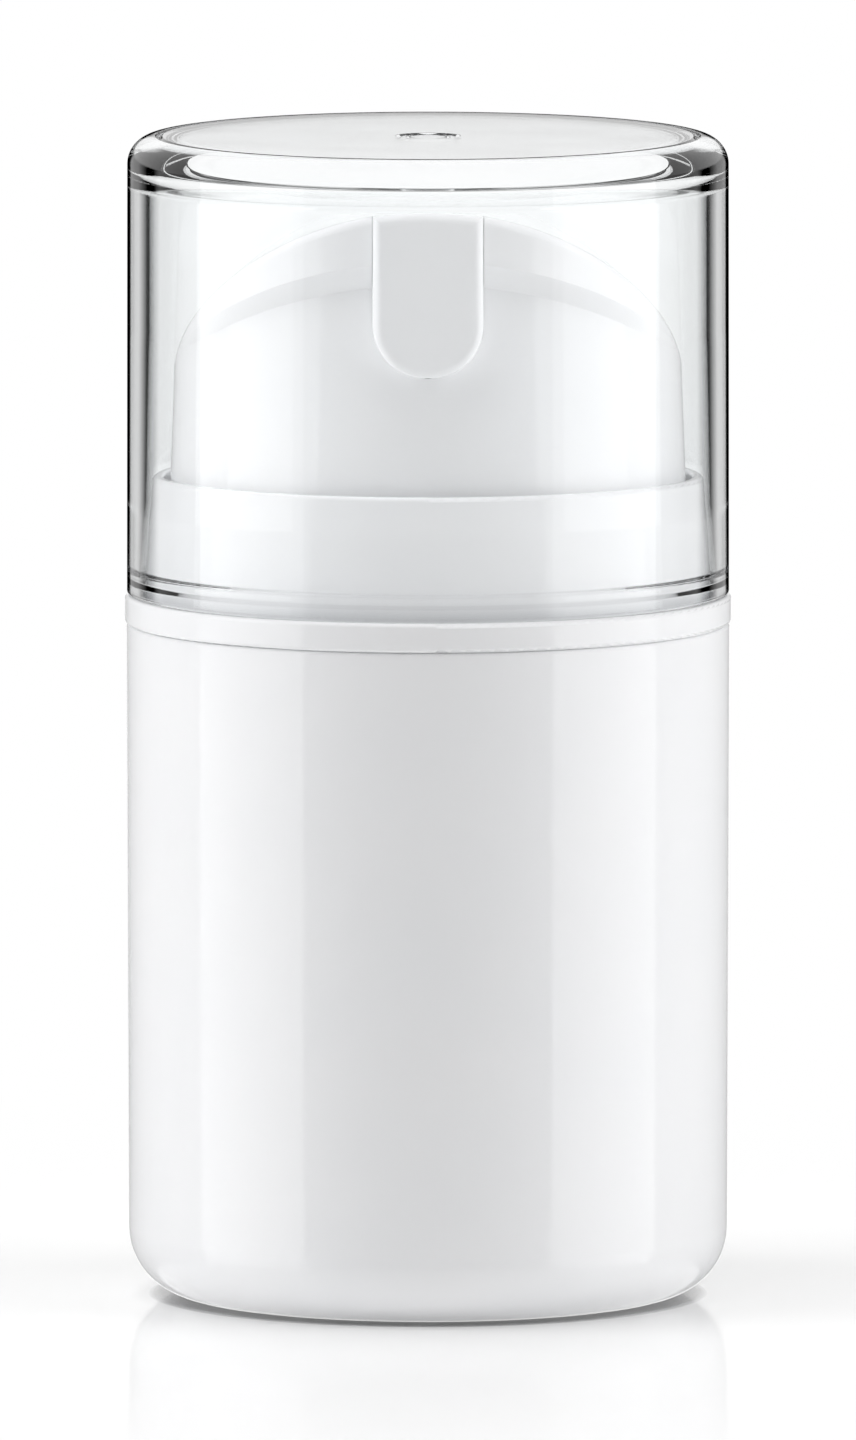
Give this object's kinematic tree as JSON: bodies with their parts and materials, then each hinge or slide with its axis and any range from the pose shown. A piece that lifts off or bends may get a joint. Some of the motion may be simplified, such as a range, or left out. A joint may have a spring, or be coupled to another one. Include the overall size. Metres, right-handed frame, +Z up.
{
  "type": "airless pump bottle",
  "caption": "Straight white airless pump bottle with a vaulted push head, a tongue spout and a clear lift-off overcap; a sprung dosing pump and a rising follower work inside.",
  "frame": {"origin": "centre of the face that the bottle stands on", "axes": "+Z up the axis of the bottle, spout towards -Y"},
  "size_m": [0.0464, 0.0464, 0.0891],
  "materials": {
    "clear_cap": "clear moulded styrene acrylonitrile, polished",
    "white_gloss": "white moulded polypropylene, gloss",
    "natural_polypropylene": "natural moulded polypropylene, satin",
    "natural_polyethylene": "natural moulded polyethylene, waxy",
    "seal_elastomer": "pale moulded elastomer, matt",
    "spring_steel": "drawn stainless wire",
    "ball_steel": "polished stainless ball"
  },
  "bodies": {
    "bottle": {"bottle": "white_gloss", "shoulder_collar": "white_gloss", "mouth_seal": "seal_elastomer", "cylinder_gasket": "seal_elastomer", "pump_cylinder": "natural_polypropylene", "lock_ring": "natural_polypropylene", "stem_seal": "seal_elastomer"},
    "stem": {"stem": "natural_polypropylene", "valve_plug": "natural_polypropylene", "return_spring": "spring_steel"},
    "actuator": {"actuator": "white_gloss", "spout": "white_gloss"},
    "dosing_piston": {"dosing_piston": "natural_polyethylene"},
    "inlet_ball": {"inlet_ball": "ball_steel"},
    "follower": {"follower_piston": "natural_polyethylene"},
    "overcap": {"overcap": "clear_cap"}
  },
  "joints": [
    {"name": "pump_stroke", "type": "slide", "parent": "bottle", "child": "stem", "axis": [0, 0, -1], "range_m": [0, 0.0045], "stiffness_N_per_m": 800, "springref_m": -0.006, "deforming": ["return_spring"]},
    {"name": "head_turn", "type": "hinge", "parent": "stem", "child": "actuator", "pos_m": [0, 0, 0.07], "axis": [0, 0, 1], "continuous": true},
    {"name": "piston_float", "type": "slide", "parent": "stem", "child": "dosing_piston", "axis": [0, 0, 1], "range_m": [0, 0.0008]},
    {"name": "inlet_valve", "type": "slide", "parent": "bottle", "child": "inlet_ball", "axis": [0, 0, 1], "range_m": [0, 0.0006]},
    {"name": "follower_rise", "type": "slide", "parent": "bottle", "child": "follower", "axis": [0, 0, 1], "range_m": [0, 0.0353]},
    {"name": "cap_lift", "type": "slide", "parent": "bottle", "child": "overcap", "axis": [0, 0, 1], "range_m": [0, 0.045]}
  ]
}
